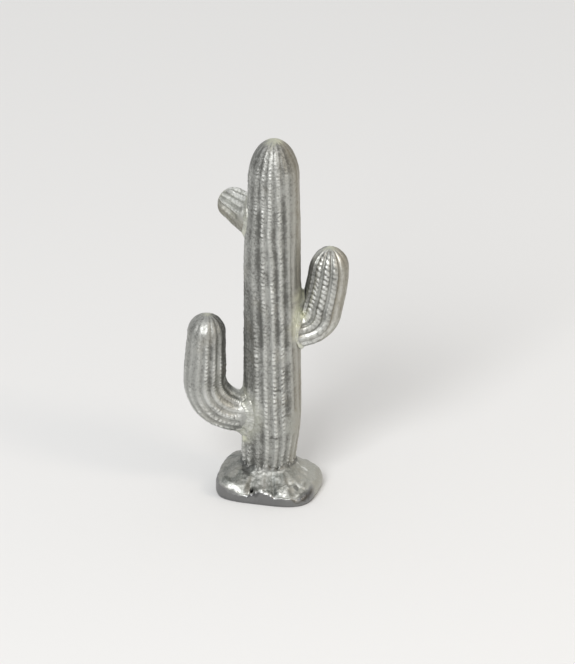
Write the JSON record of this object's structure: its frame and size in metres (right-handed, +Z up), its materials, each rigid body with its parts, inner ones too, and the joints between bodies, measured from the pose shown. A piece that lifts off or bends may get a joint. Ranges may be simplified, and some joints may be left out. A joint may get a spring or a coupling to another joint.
{
  "type": "cast metal cactus ornament",
  "caption": "Freestanding ornamental cactus: a ribbed, round-topped trunk with bent side arms and a short rear stub, welded up from castings on a rock-shaped foot.",
  "frame": {"origin": "on the rock's flat underside, straight below the centre of the trunk's foot", "axes": "+Z up along the trunk, -Y towards the front, +X towards the right arm"},
  "size_m": [0.2682, 0.1605, 0.6126],
  "materials": {
    "cast_aluminium": "sand-cast, dull-polished on the crests, dark in the grooves",
    "rock_aluminium": "hammered top, smoother polished sides",
    "weld_filler": "matt, smeared weld"
  },
  "bodies": {
    "root": {"rock_base": "rock_aluminium", "trunk": "cast_aluminium", "left_arm_elbow": "cast_aluminium", "left_arm_upright": "cast_aluminium", "right_arm_elbow": "cast_aluminium", "right_arm_upright": "cast_aluminium", "back_arm": "cast_aluminium", "left_arm_weld": "weld_filler", "right_arm_weld": "weld_filler", "back_arm_weld": "weld_filler"}
  },
  "joints": []
}
